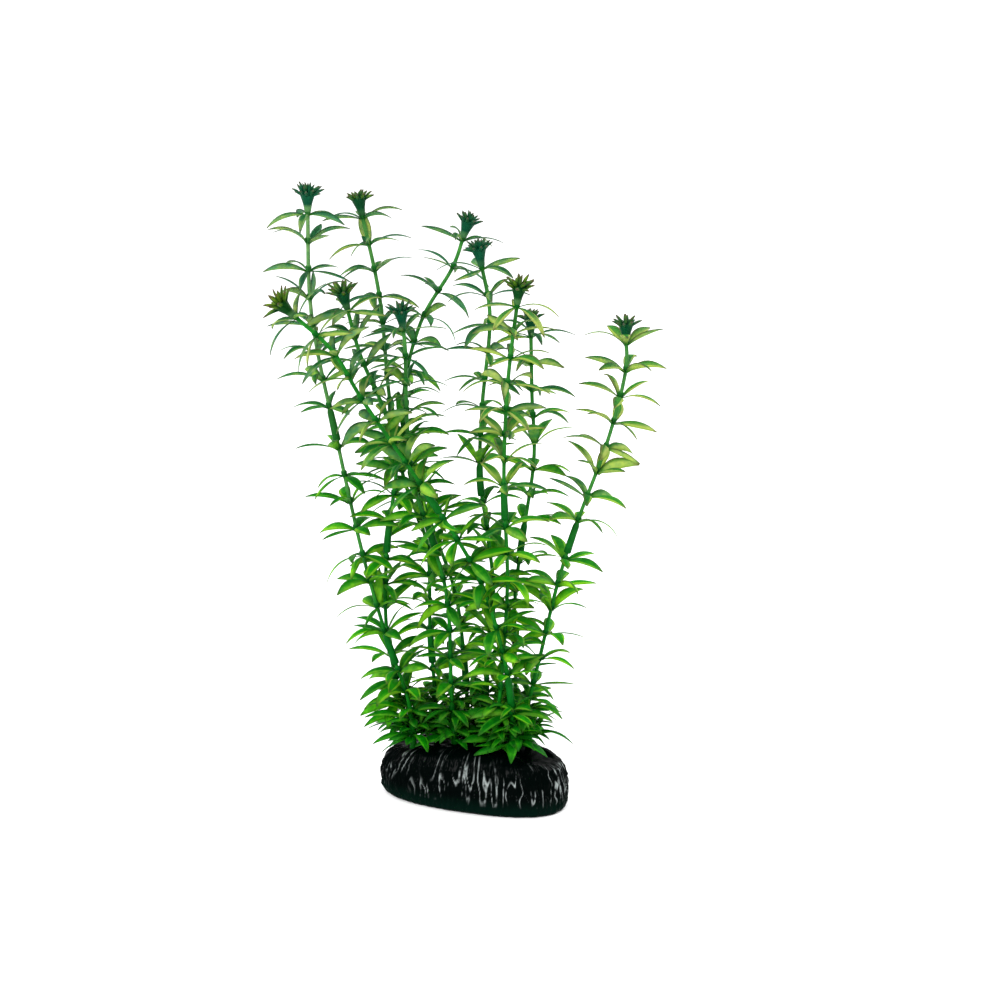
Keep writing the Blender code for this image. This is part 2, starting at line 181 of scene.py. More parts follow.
# Each shoot's sleeves begin this far down from its crown. Its age is how dark the green of its upper stem
# is, sun how yellow its leaves are, and the seed is for their small differences. The route runs from its
# foot, inside the base, up to its crown: across, away, up.
shoots = {
    "a": {"sleeves": (0.080, 0.175), "age": 0.12, "sun": -0.6, "seed": 3, "route": (
        (-0.0245, 0.000, 0.0194), (-0.0263, 0.000, 0.0407), (-0.0350, 0.000, 0.0687),
        (-0.0443, 0.000, 0.1047), (-0.0535, 0.000, 0.1507), (-0.0600, -0.001, 0.1847),
        (-0.0626, -0.002, 0.2087), (-0.0625, -0.003, 0.2422))},
    "b": {"sleeves": (0.077, 0.172), "age": 0.6, "sun": -0.4, "seed": 5, "route": (
        (-0.0155, 0.008, 0.0194), (-0.0160, 0.009, 0.0407), (-0.0178, 0.010, 0.0687),
        (-0.0188, 0.013, 0.1027), (-0.0278, 0.015, 0.1297), (-0.0333, 0.018, 0.1617),
        (-0.0369, 0.022, 0.2017), (-0.0440, 0.026, 0.2362))},
    "c": {"sleeves": (0.094,), "age": 0.8, "sun": -0.1, "seed": 8, "route": (
        (-0.0262, 0.010, 0.0194), (-0.0300, 0.009, 0.0387), (-0.0352, 0.006, 0.0707),
        (-0.0342, 0.001, 0.1067), (-0.0300, -0.004, 0.1387), (-0.0315, -0.008, 0.1567),
        (-0.0425, -0.011, 0.1847), (-0.0480, -0.014, 0.2067))},
    "d": {"sleeves": (0.086, 0.176), "age": 0.95, "sun": 0.2, "seed": 13, "route": (
        (0.0152, -0.010, 0.0194), (0.0150, -0.011, 0.0437), (0.0108, -0.014, 0.0702),
        (0.0010, -0.018, 0.1017), (-0.0210, -0.025, 0.1402), (-0.0405, -0.031, 0.1717),
        (-0.0520, -0.035, 0.1927), (-0.0672, -0.038, 0.2079))},
    "e": {"sleeves": (0.079,), "age": 0.6, "sun": -0.6, "seed": 21, "route": (
        (-0.0075, -0.002, 0.0194), (-0.0090, -0.002, 0.0437), (-0.0102, -0.003, 0.0827),
        (-0.0155, -0.006, 0.1087), (-0.0236, -0.008, 0.1357), (-0.0255, -0.009, 0.1617),
        (-0.0258, -0.010, 0.1877), (-0.0268, -0.011, 0.1987))},
    "f": {"sleeves": (0.083, 0.178), "age": 0.75, "sun": -0.9, "seed": 34, "route": (
        (-0.0032, 0.0105, 0.0194), (-0.0030, 0.0125, 0.0387), (-0.0070, 0.016, 0.0787),
        (-0.0160, 0.018, 0.1067), (-0.0262, 0.022, 0.1367), (-0.0278, 0.026, 0.1637),
        (-0.0210, 0.030, 0.1907), (-0.0085, 0.034, 0.2117), (-0.0035, 0.036, 0.2257))},
    "g": {"sleeves": (0.082, 0.174), "age": 0.7, "sun": -0.5, "seed": 55, "route": (
        (0.0045, 0.006, 0.0194), (0.0048, 0.0065, 0.0437), (0.0080, 0.007, 0.0817),
        (0.0052, 0.008, 0.1117), (0.0025, 0.008, 0.1327), (0.0035, 0.007, 0.1617),
        (0.0066, 0.006, 0.1967), (0.0030, 0.005, 0.2199))},
    "h": {"sleeves": (0.077,), "age": 0.8, "sun": 0.8, "seed": 89, "route": (
        (0.0075, -0.006, 0.0194), (0.0105, -0.008, 0.0467), (0.0134, -0.010, 0.0937),
        (0.0120, -0.014, 0.1357), (0.0134, -0.019, 0.1757), (0.0172, -0.024, 0.2105))},
    "i": {"sleeves": (0.078,), "age": 0.7, "sun": 0.1, "seed": 144, "route": (
        (0.0150, 0.0055, 0.0194), (0.0168, 0.0075, 0.0437), (0.0165, 0.011, 0.0787),
        (0.0192, 0.014, 0.1037), (0.0240, 0.017, 0.1367), (0.0232, 0.020, 0.1637),
        (0.0227, 0.023, 0.1895))},
    "j": {"sleeves": (0.078,), "age": 0.45, "sun": 0.9, "seed": 233, "route": (
        (0.0228, 0.000, 0.0194), (0.0216, 0.000, 0.0367), (0.0268, 0.001, 0.0607),
        (0.0335, 0.001, 0.0907), (0.0412, 0.000, 0.1167), (0.0523, -0.001, 0.1487),
        (0.0590, -0.002, 0.1767), (0.0591, -0.002, 0.1917))},
}
partNames = {1: ("upper", "lower"), 2: ("upper", "middle", "lower")}

# One moulded section, from its thin upper end down: lengths along the stem and radii, in metres. The
# shapes are rows of a distance, a share of the radius there and how dark the green is.
stem = {
    "endGap": 0.0003,
    "end": ((0.0, 0.8, 0.0), (0.0002, 1.0, 0.0)),
    "pegLength": 0.0080,
    "pegRadius": 0.0007,
    "firstWhorl": 0.0036,
    "whorlSpacing": 0.0109,
    "internode": 0.00078,
    "collarHeight": 0.0021,
    "collarRim": 0.00124,
    "collarFoot": 0.00098,
    "aboveCollar": ((-0.0004, 1.0, 0.1),),
    "collar": ((0.0, 0.82, 0.8), (0.0002, 0.97, 1.0), (0.0005, 1.0, 1.0), (0.0012, 0.94, 1.0)),
    "ring": ((0.0, 1.0, 0.9),),
    "belowRing": ((0.0007, 1.0, 0.4), (0.0022, 0.97, 0.0)),
    "lowEnd": ((0.0, 1.0, 1.0),),
    "sleeveLength": 0.0135,
    "sleeveRadius": 0.00134,
    "mouthRadius": 0.00156,
    "underCollar": ((0.0007, 1.02, 0.8),),
    "sleeve": ((0.0020, 1.0, 0.9),),
    "mouth": ((-0.0007, 1.0, 1.0), (-0.0002, 0.985, 1.0), (0.0, 0.93, 1.0)),
    "boreRadius": 0.00108,
    "boreDepth": 0.0088,
    "boreOut": 0.0005,                # so far out of the mouth
    "boreSteps": 6,
    "footRadius": 0.00155,
    "footSwelling": 0.018,
    "footShare": 0.9,                 # how much of the swelling and of the dark green shows
    "socketDepth": 0.0045,
    "lastWhorlAboveBase": 0.0030,
    "step": 0.0013,
    "ageHeights": (0.07, 0.20),       # the upper stem's own green below and above these heights
    "sharpAngle": radians(55),
}


class Route:
    # A smooth curve through a shoot's points, measured along its length from the crown down
    def __init__(self, points, steps=24):
        knots = [turned(*point) for point in points]
        knots = [2 * knots[0] - knots[1], *knots, 2 * knots[-1] - knots[-2]]
        line = []
        for before, start, end, after in zip(knots, knots[1:], knots[2:], knots[3:]):
            bend = 2 * before - 5 * start + 4 * end - after
            turn = 3 * start - before - 3 * end + after
            line += [0.5 * (2 * start + (end - before) * t + bend * t ** 2 + turn * t ** 3)
                     for t in np.arange(steps) / steps]
        line.append(knots[-2])
        self.line = np.array(line[::-1])
        self.down = np.concatenate(([0.0], np.cumsum(np.linalg.norm(np.diff(self.line, axis=0), axis=1))))
        self.length = float(self.down[-1])

    def point(self, down):
        if down < 0:
            return self.line[0] - self.axis(0) * down
        return np.array([np.interp(down, self.down, self.line[:, k]) for k in range(3)])

    def axis(self, down, reach=0.002):
        return unit(self.point(max(down - reach, 0.0)) - self.point(min(down + reach, self.length)))

    def at(self, down):
        return self.point(down), self.axis(down)


def sectionsOf(letter):
    shoot, route = shoots[letter], Route(shoots[letter]["route"])
    names = partNames[len(shoot["sleeves"])]
    top, found = 0.0, []
    for index, name in enumerate(names):
        lowest = index == len(names) - 1
        last = (route.length - stem["socketDepth"] - stem["lastWhorlAboveBase"] if lowest
                else shoot["sleeves"][index])
        first = top + stem["firstWhorl"]
        gaps = max(round((last - first) / stem["whorlSpacing"]), 1)
        found.append({
            **shoot, "node": f"shoot_{letter}_{name}", "route": route, "lowest": lowest, "peg": index > 0,
            "top": top - stem["pegLength"] if index else stem["endGap"],
            "bottom": route.length if lowest else last + stem["sleeveLength"],
            "whorls": [first + (last - first) * k / gaps for k in range(gaps + 1)],
        })
        top = last + stem["sleeveLength"]
    return found


# Where the stem changes: (distance down, radius, how dark its green is)
def stationsOf(section):
    narrow, last = stem["internode"], section["whorls"][-1]
    start, stations = stem["pegRadius"] if section["peg"] else narrow, []

    def add(shape, down, radius):
        stations.extend((down + far, share * radius, tone) for far, share, tone in stem[shape])

    add("end", section["top"], start)
    for whorl in section["whorls"]:
        cup = whorl - stem["collarHeight"]
        add("aboveCollar", cup, start if whorl == section["whorls"][0] else narrow)
        add("collar", cup, stem["collarRim"])
        add("ring", whorl, stem["collarFoot"])
        if whorl != last or section["lowest"]:
            add("belowRing", whorl, narrow)
    if section["lowest"]:
        add("lowEnd", section["bottom"], narrow)
    else:
        add("underCollar", last, stem["collarFoot"])
        add("sleeve", last, stem["sleeveRadius"])
        add("mouth", section["bottom"], stem["mouthRadius"])
    return stations


# Stations no further apart than a step, so that the stem follows its route
def filledIn(stations):
    rows, filled = np.array(stations), [stations[0]]
    for here, after in zip(rows, rows[1:]):
        count = max(ceil((after[0] - here[0]) / stem["step"]), 1)
        filled += [tuple(here + (after - here) * k / count) for k in range(1, count + 1)]
    return filled


# How much the lowest part of a shoot is thickened, from nothing to one at the top of the base
def swelling(section, down):
    height = section["route"].length - down - stem["socketDepth"]
    return clamped(1 - height / stem["footSwelling"])


# A leaf of the moulding: an arched blade from the stem to its tip
blade = {
    "inputs": {"Stem Sides": 14, "Blade Sides": 6, "Blade Segments": 9, "Blade Thickness": 0.00058,
               "Blade Blunt": 0.0},
    "edge": 0.18,                     # the share of the thickness at the edge and how much more inside
    "inside": 0.32,
    "outline": ((0.0, 0.36), (0.08, 0.44), (0.27, 0.80), (0.47, 1.0), (0.66, 0.90), (0.85, 0.55),
                (1.0, 0.14)),
    "bluntPower": 5.0,
    "widthSpread": 0.10,
    "lowWidth": 1.24,                 # how much wider the lower leaves are than in the solid
    "highWidth": 0.93,
    "widthHeights": (0.13, 0.18),
    "sunWidth": 0.12,
    "cup": (-0.30, 0.50),             # below nothing the blade is flat
    "arch": 0.0023,
    "archSpread": 0.0006,
    "leastArch": 0.0006,
    "roll": radians(22),
    "sway": 0.0007,
    "toneSpread": 0.9,
    "sunHeight": 0.12,                # a sunny shoot is yellower from a share of this height up
    "sunStart": 0.4,
    "tiltGain": 3.6,                  # how soon a rolled blade has an upper edge
}


# The way out of an axis at an angle round it, and a way along that with a slope and a length
def awayFrom(axis, angle):
    side = unit(np.array((1.0, 0.0, 0.0)) - axis[0] * axis)
    return cos(angle) * side + sin(angle) * np.cross(axis, side)


def reaching(outward, axis, slope, length):
    return (outward * cos(slope) + axis * sin(slope)) * length


def eitherWay(chance, most):
    return chance.uniform(-most, most)


# The roots, tips and widths of a node's leaves. A tip is the only kind of corner that meets just three
# others, all of them far off; the farthest is on the collar, and the left one of the others meets four.
def leavesOf(node):
    same, shortest, leaves = 2e-6, 0.003, []
    solid = bmesh.new()
    solid.from_mesh(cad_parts[node].data)
    bmesh.ops.remove_doubles(solid, verts=solid.verts, dist=same)
    for tip in solid.verts:
        around = [edge.other_vert(tip) for edge in tip.link_edges]
        around.sort(key=lambda corner: (corner.co - tip.co).length)
        if len(around) != 3 or (around[0].co - tip.co).length < shortest:
            continue
        left, right = sorted(around[:2], key=lambda corner: len(corner.link_edges))
        taken, roots = {*around, tip}, []
        for side in (left, right):
            others = (edge.other_vert(side) for edge in side.link_edges)
            roots.append(next(other for other in others if other not in taken))
            taken.add(roots[-1])
        root = np.array(roots[0].co + roots[1].co) / 2
        across = right.co - left.co
        leaves.append({"root": root, "chord": np.array(tip.co) - root, "wing": unit(np.array(across)),
                       "half": across.length / 2})
    solid.free()
    return leaves


# The shape of one leaf or finger, as what the tree reads
def bladeValues(root, chord, wing, half, arch, roll, sway, cup, tone, sun=0.0):
    lift = unit(np.cross(chord, wing))
    rolled = wing * cos(roll) + lift * sin(roll)
    return {
        "bladeCup": max(cup, 0.0) * half,
        "bladeRoot": root, "bladeChord": chord, "bladeWing": rolled * half,
        "bladeNormal": lift * cos(roll) - wing * sin(roll),
        "bladeArch": lift * arch + wing * sway, "bladeTone": tone, "bladeSun": sun,
    }


# The tree that makes a section or a crown: a bored stem from the paths, and a blade on each loose point,
# shaped by the point's own vectors
def sprigTree():
    tree = bpy.data.node_groups.new("sprig", "GeometryNodeTree")
    tree.interface.new_socket(name="Geometry", in_out="OUTPUT", socket_type="NodeSocketGeometry")
    for name, kind in {
            "Geometry": "Geometry", "Stem Sides": "Int", "Hollow": "Bool", "Blade Sides": "Int",
            "Blade Segments": "Int", "Blade Thickness": "Float", "Blade Blunt": "Float",
            "Stem Material": "Material", "Blade Material": "Material"}.items():
        tree.interface.new_socket(name=name, in_out="INPUT", socket_type="NodeSocket" + kind)
    given = addNode(tree, "NodeGroupInput").outputs

    def made(kind, sockets=None, **settings):
        return addNode(tree, "GeometryNode" + kind, sockets, **settings).outputs[0]

    def named(name, kind="FLOAT_VECTOR"):
        return made("InputNamedAttribute", {"Name": name}, data_type=kind)

    def picked(flag):
        return made("SeparateGeometry", {"Geometry": given["Geometry"], "Selection": named(flag, "BOOLEAN")})

    def tube(flag):
        ring = made("CurvePrimitiveCircle", {"Resolution": given["Stem Sides"], "Radius": 1.0})
        return made("CurveToMesh", {"Curve": made("MeshToCurve", {0: picked(flag)}), "Profile Curve": ring,
                                    "Scale": named("stemRadius", "FLOAT"), "Fill Caps": True})

    def stored(geometry, values):
        for name, value in values.items():
            geometry = made("StoreNamedAttribute", {"Geometry": geometry, "Name": name, "Value": value},
                            data_type="FLOAT", domain="POINT")
        return geometry

    def coated(geometry, material):
        return made("SetMaterial", {"Geometry": geometry, "Material": given[material]})

    solidStem, bore = tube("isStem"), tube("isBore")
    drilled = made("MeshBoolean", {0: solidStem, 1: bore}, operation="DIFFERENCE", solver="EXACT")
    stemPart = made("Switch", {"Switch": given["Hollow"], "False": solidStem, "True": drilled},
                    input_type="GEOMETRY")

    # A blade before it is shaped: a tube of unit length whose sides are turned into a flat lens
    barrel = made("MeshCylinder", {"Vertices": given["Blade Sides"], "Side Segments": given["Blade Segments"],
                                   "Radius": 1.0, "Depth": 1.0}, fill_type="NGON")
    spot = split(tree, made("InputPosition"))
    barrel = stored(barrel, {"bladeAlong": calc(tree, "ADD", spot["Z"], 0.5),
                             "bladeAcross": spot["X"], "bladeFace": spot["Y"]})
    blades = made("InstanceOnPoints", {"Points": picked("isBlade"), "Instance": barrel})
    blades = made("RealizeInstances", {0: blades})
    along, across, face = (named(name, "FLOAT") for name in ("bladeAlong", "bladeAcross", "bladeFace"))
    outline = addNode(tree, "ShaderNodeFloatCurve", {"Value": along})
    curve = outline.mapping.curves[0]
    curve.points[0].location, *middle, curve.points[-1].location = blade["outline"]
    for u, width in middle:
        curve.points.new(u, width)
    outline.mapping.update()
    pointed = times(tree, outline.outputs[0], calc(tree, "SUBTRACT", 1.0, given["Blade Blunt"]))
    blunt = calc(tree, "SUBTRACT", 1.0, calc(tree, "POWER", along, blade["bluntPower"]))
    width = calc(tree, "ADD", pointed, times(tree, blunt, given["Blade Blunt"]))
    arch = times(tree, along, calc(tree, "SUBTRACT", 1.0, along), 4.0)
    thick = times(tree, face, given["Blade Thickness"],
                  calc(tree, "MULTIPLY_ADD", width, blade["inside"], blade["edge"]))
    sag = times(tree, across, across, width, named("bladeCup", "FLOAT"))
    place, wing = named("bladeRoot"), named("bladeWing")
    for way, reach in ((named("bladeChord"), along), (named("bladeArch"), arch),
                       (wing, times(tree, across, width)),
                       (named("bladeNormal"), calc(tree, "SUBTRACT", thick, sag))):
        place = vectorCalc(tree, "ADD", {0: place, 1: vectorCalc(tree, "SCALE", {0: way, "Scale": reach})})
    blades = made("SetPosition", {"Geometry": blades, "Position": place})
    tilt = times(tree, split(tree, vectorCalc(tree, "NORMALIZE", {0: wing}))["Z"], blade["tiltGain"])
    tilt = calc(tree, "MAXIMUM", calc(tree, "MINIMUM", tilt, 1.0), -1.0)
    # The normal's upward share and which edge is the upper one, kept for painted shade on faces turned to the
    # sky and on upper edges, and painted light on faces turned aside and on lower edges
    blades = stored(blades, {"bladeSkyward": split(tree, made("InputNormal"))["Z"],
                             "bladeUpper": times(tree, across, tilt)})
    both = addNode(tree, "GeometryNodeJoinGeometry")
    tree.links.new(coated(stemPart, "Stem Material"), both.inputs[0])
    tree.links.new(coated(blades, "Blade Material"), both.inputs[0])
    addNode(tree, "NodeGroupOutput", {0: made("SetShadeSmooth", {"Geometry": both.outputs[0]})})
    return tree


bladeVectors = ("bladeRoot", "bladeChord", "bladeWing", "bladeNormal", "bladeArch")


# A mesh of paths and loose points with the attributes that the tree reads
def plantMesh(name, paths, blades, ages=(1.0, 1.0), tone=0.0):
    rows, edges = [], []
    for kind, path in paths:
        edges += [(k, k + 1) for k in range(len(rows), len(rows) + len(path) - 1)]
        rows += [(kind, *station) for station in path]
    before = len(rows)
    rows += [("isBlade", values["bladeRoot"], 0.0, 1.0) for values in blades]
    kinds, points, radii, tones = zip(*rows)
    mesh = bpy.data.meshes.new(name)
    mesh.from_pydata([tuple(point) for point in points], edges, [])

    def keep(key, values, kind="FLOAT", field="value"):
        mesh.attributes.new(key, kind, "POINT").data.foreach_set(field, values)

    for flag in ("isStem", "isBore", "isBlade"):
        keep(flag, [kind == flag for kind in kinds], "BOOLEAN")
    keep("stemRadius", radii)
    keep("stemTone", tones)
    for key in bladeVectors:
        vectors = [(0.0, 0.0, 0.0)] * before + [tuple(values[key]) for values in blades]
        keep(key, np.ravel(vectors), "FLOAT_VECTOR", "vector")
    for key, other in (("bladeCup", 0.0), ("bladeTone", tone), ("bladeSun", 0.0)):
        keep(key, [other] * before + [values[key] for values in blades])
    keep("stemAge", np.interp([point[2] for point in points], stem["ageHeights"], ages[::-1]))
    return mesh


# Runs the tree on that mesh and keeps the plain mesh that comes out
def grown(name, mesh, tree, inputs):
    points = addObject(name + "_points", mesh)
    modifier = points.modifiers.new("sprig", "NODES")
    modifier.node_group = tree
    for socket in tree.interface.items_tree:
        if socket.in_out == "INPUT" and socket.name in inputs:
            modifier[socket.identifier] = inputs[socket.name]
    made = bpy.data.meshes.new_from_object(points.evaluated_get(bpy.context.evaluated_depsgraph_get()))
    made.name = name
    bpy.data.objects.remove(points)
    for left in ("isStem", "isBore", "isBlade", "stemRadius", "bladeCup", *bladeVectors):
        if left in made.attributes:
            made.attributes.remove(made.attributes[left])
    made.set_sharp_from_angle(angle=stem["sharpAngle"])
    return addObject(name, made)


# Plastic: leaves that let light through, stems and crowns. Limits are where something starts to show and
# where it is full. A relief is its strength, depth and fineness.
leafLook = {
    "root": (0.003, 0.150, 0.008),
    # Painted light and shade: faces turned up to the sky get the darker painted-shade greens, faces turned
    # aside or down get the lighter painted-lit greens, low on the plant and high up
    "lowSkyShade": (0.007, 0.220, 0.007),
    "highSkyShade": (0.018, 0.100, 0.038),
    "lowSideLit": (0.110, 0.430, 0.026),
    "highSideLit": (0.165, 0.320, 0.115),
    "tip": (0.060, 0.075, 0.030),
    # Painted shade on the rims and on the upper edge of a tilted leaf, in these darker greens, and painted
    # light on its lower edge, in the paler under colour
    "lowRimShade": (0.003, 0.130, 0.004),
    "highRimShade": (0.009, 0.056, 0.020),
    "under": (0.25, 0.42, 0.050),
    "cold": (0.36, 0.62, 0.85),
    "warm": (1.90, 1.16, 0.90),
    # The tint of the painted shade near the floor, where the leaves crowd
    "crowdShade": (0.24, 0.72, 0.34),
    "throughRoot": (0.008, 0.350, 0.010),
    # The light let through is painted the same way: darker on faces turned to the sky, lighter on faces
    # turned aside, low and high up
    "throughSkyShade": (0.055, 0.450, 0.030),
    "throughLowSideLit": (0.520, 0.940, 0.080),
    "throughHighSideLit": (0.690, 0.870, 0.420),
    # Painted light on the lower edge of a tilted leaf, in the light let through
    "throughUnder": (0.74, 0.92, 0.15),
    "throughWarm": (1.30, 1.12, 0.95),
    # Painted shade on the rims, and darker at the tip, in the light let through
    "throughEdgeShade": (0.24, 0.20, 0.24),
    "throughShare": 0.50,
    # How strong the painted shade on the rims and the upper edge, and the painted light on the lower edge,
    # are
    "rimShade": 0.30,
    "upperShade": 0.76,
    "underLight": 0.45,
    "tipShade": 0.7,
    "mottle": (340.0, 3.0),
    "toneShare": 0.30,
    "shadeLimits": (0.16, 0.84),
    "sideLitLimits": (0.92, 0.50),    # how far up a face looks
    "rimShadeLimits": (0.50, 1.0),         # across a leaf to both edges, the upper and the lower
    "upperLimits": (0.30, 0.90),
    "underLimits": (-0.35, -0.95),
    "tipLimits": (0.80, 1.0),         # along a leaf
    "rootLimits": (0.22, 0.0),
    "throughRootLimits": (0.30, 0.0),
    "highLimits": (0.112, 0.185),     # metres above the floor: the green grows paler
    "sunRise": 0.032,                 # and a sunny shoot's pale leaves begin lower by this
    # Painted shade: leaves and stems are deeper and darker below these, where the leaves crowd
    "crowdShadeLimits": (0.024, 0.052),     # and it is deeper below these
    "roughness": 0.42,
    "specular": 0.05,
    "relief": (0.12, 0.0003, 900.0),
}
stemLook = {
    "young": (0.080, 0.200, 0.066),
    "old": (0.005, 0.140, 0.008),
    "dark": (0.0005, 0.066, 0.006),
    "darkShare": 0.85,
    # The tint of the painted shade near the floor, where the leaves crowd
    "crowdShade": (0.25, 0.75, 0.25),
    "patchSize": 320.0,
    "patchLimits": (0.35, 0.75),
    "patchTint": (1.8, 1.3, 1.4),
    "roughness": 0.32,
    "specular": 0.030,
    "relief": (0.15, 0.0003, 700.0),
}
crownLook = {
    "coolBody": (0.001, 0.050, 0.022),
    "warmBody": (0.0005, 0.030, 0.002),
    "coolFinger": (0.005, 0.065, 0.026),
    "warmFinger": (0.062, 0.140, 0.006),
    "coolTip": (0.045, 0.060, 0.035),
    "warmTip": (0.050, 0.040, 0.016),
    "fingerLimits": (0.15, 0.6),      # along a finger
    "tipLimits": (0.66, 0.96),
    "edgeLimits": (0.45, 1.0),        # across it
    "edgeShare": 0.8,
    "patchSize": 420.0,
    "patchLimits": (0.35, 0.75),
    "patchTint": (1.8, 1.4, 1.4),
    "roughness": 0.45,
    "specular": 0.06,
}


def newMaterial(name, surface):
    material = bpy.data.materials.new(name)
    material.use_nodes = True
    material.node_tree.nodes.clear()
    addNode(material.node_tree, "ShaderNodeOutputMaterial", {"Surface": surface(material.node_tree)})
    return material


def mix(tree, share, first, second, blend="MIX"):
    first, second = ((*color, 1.0) if isinstance(color, tuple) else color for color in (first, second))
    return addNode(tree, "ShaderNodeMix", {0: share, 6: first, 7: second},      # the colour sockets
                   data_type="RGBA", blend_type=blend).outputs[2]


def tinted(tree, color, tint):
    return mix(tree, 1.0, color, tint, "MULTIPLY")


def ramp(tree, value, limits):
    return addNode(tree, "ShaderNodeMapRange", {"Value": value, "From Min": limits[0], "From Max": limits[1]},
                   interpolation_type="SMOOTHSTEP").outputs["Result"]


def attribute(tree, name):
    return addNode(tree, "ShaderNodeAttribute", attribute_name=name).outputs["Fac"]


def objectPlace(tree):
    return addNode(tree, "ShaderNodeTexCoord").outputs["Object"]


def mottle(tree, scale, detail=2.0):
    return addNode(tree, "ShaderNodeTexNoise", {"Vector": objectPlace(tree), "Scale": scale,
                                                "Detail": detail}).outputs["Fac"]


def heightAt(tree):
    return split(tree, objectPlace(tree))["Z"]


def patchy(tree, look, color):
    share = ramp(tree, mottle(tree, look["patchSize"]), look["patchLimits"])
    return mix(tree, share, color, tinted(tree, color, look["patchTint"]))


# Painted shade: deeper and darker near the floor, where the leaves crowd
def crowdShaded(tree, look, color):
    low = ramp(tree, heightAt(tree), leafLook["crowdShadeLimits"])
    return mix(tree, low, tinted(tree, color, look["crowdShade"]), color)


def glossy(tree, look, color):
    sockets = {"Base Color": color, "Roughness": look["roughness"], "Specular IOR Level": look["specular"]}
    if "relief" in look:
        strength, depth, scale = look["relief"]
        sockets["Normal"] = addNode(tree, "ShaderNodeBump", {
            "Strength": strength, "Distance": depth, "Height": mottle(tree, scale)}).outputs[0]
    return addNode(tree, "ShaderNodeBsdfPrincipled", sockets).outputs[0]


def leafSurface(tree):
    look = leafLook
    along, upper = attribute(tree, "bladeAlong"), attribute(tree, "bladeUpper")
    # Painted light and shade: the colour follows how far each face turns up to the sky, darker when it faces
    # up and lighter when it faces aside
    sideLit = ramp(tree, attribute(tree, "bladeSkyward"), look["sideLitLimits"])
    # Painted shade along the rims and on the upper edge of a tilted leaf, and painted light on its lower edge
    edgeShade = ramp(tree, calc(tree, "ABSOLUTE", attribute(tree, "bladeAcross")), look["rimShadeLimits"])
    edgeShade = calc(tree, "MAXIMUM", times(tree, edgeShade, look["rimShade"]),
               times(tree, ramp(tree, upper, look["upperLimits"]), look["upperShade"]))
    under = times(tree, ramp(tree, upper, look["underLimits"]), look["underLight"])
    tip = times(tree, ramp(tree, along, look["tipLimits"]), look["tipShade"])
    high = calc(tree, "MULTIPLY_ADD", attribute(tree, "bladeSun"), look["sunRise"], heightAt(tree))
    high = ramp(tree, high, look["highLimits"])
    tone = times(tree, attribute(tree, "bladeTone"), look["toneShare"])
    shade = ramp(tree, calc(tree, "ADD", mottle(tree, *look["mottle"]), tone), look["shadeLimits"])

    color = mix(tree, sideLit, mix(tree, high, look["lowSkyShade"], look["highSkyShade"]),
                mix(tree, high, look["lowSideLit"], look["highSideLit"]))
    color = mix(tree, ramp(tree, along, look["rootLimits"]), color, look["root"])
    color = tinted(tree, color, mix(tree, shade, look["cold"], look["warm"]))
    color = mix(tree, under, color, look["under"])
    color = mix(tree, tip, color, look["tip"])
    color = mix(tree, edgeShade, color, mix(tree, high, look["lowRimShade"], look["highRimShade"]))

    # The light let through carries the same painted shade on faces turned to the sky and painted light on
    # faces turned aside
    through = mix(tree, sideLit, look["throughSkyShade"],
                  mix(tree, high, look["throughLowSideLit"], look["throughHighSideLit"]))
    through = mix(tree, ramp(tree, along, look["throughRootLimits"]), through, look["throughRoot"])
    through = tinted(tree, through, mix(tree, shade, look["cold"], look["throughWarm"]))
    through = mix(tree, under, through, look["throughUnder"])
    # Painted shade on the rims, and darker at the tip, in the light let through
    through = mix(tree, calc(tree, "MAXIMUM", edgeShade, tip), through,
                  tinted(tree, through, look["throughEdgeShade"]))
    glow = addNode(tree, "ShaderNodeBsdfTranslucent", {"Color": crowdShaded(tree, look, through)})
    gloss = glossy(tree, look, crowdShaded(tree, look, color))
    return addNode(tree, "ShaderNodeMixShader", {
        "Fac": look["throughShare"], 1: gloss, 2: glow.outputs[0]}).outputs[0]


def stemSurface(tree):
    color = mix(tree, attribute(tree, "stemAge"), stemLook["young"], stemLook["old"])
    dark = times(tree, attribute(tree, "stemTone"), stemLook["darkShare"])
    color = patchy(tree, stemLook, mix(tree, dark, color, stemLook["dark"]))
    # with painted shade near the floor
    return glossy(tree, stemLook, crowdShaded(tree, stemLook, color))


def crownSurface(tree):
    look = crownLook
    along, warmth = attribute(tree, "bladeAlong"), attribute(tree, "bladeTone")
    body, finger, tip = (mix(tree, warmth, look["cool" + part], look["warm" + part])
                         for part in ("Body", "Finger", "Tip"))
    edge = ramp(tree, calc(tree, "ABSOLUTE", attribute(tree, "bladeAcross")), look["edgeLimits"])
    color = mix(tree, ramp(tree, along, look["fingerLimits"]), body, finger)
    color = mix(tree, times(tree, edge, look["edgeShare"]), color, body)
    color = patchy(tree, look, mix(tree, ramp(tree, along, look["tipLimits"]), color, tip))
    color = mix(tree, attribute(tree, "stemTone"), stemLook["young"], color)
    return glossy(tree, look, color)


# The base: an oval between an ellipse and a box, its rim drawn in towards the top, under thick glaze
base = {
    "halfLength": 0.0393,
    "halfDepth": 0.0192,
    "height": 0.0238,
    "squareness": 2.4,
    "lean": 0.3,
    "fall": 0.18,
    "profile": ((0.0, 0.0014), (0.04, 0.0005), (0.12, 0.0002), (0.42, 0.0), (0.72, 0.0012), (0.90, 0.0038),
                (0.97, 0.0062), (1.0, 0.0086)),
    "around": 860,
    "up": 58,
    "topRings": 18,
    "topGap": 0.0004,                 # left open in the middle of the top until the last face
}


# Leaves keep clear of the base, and those that would hang over one of its long sides are lifted
ground = {
    "above": 0.0010,
    "margin": 0.004,
    "ends": 0.7,
    "sides": 0.8,
    "top": 0.96,
    "shorter": 0.85,
    "tries": 12,
}


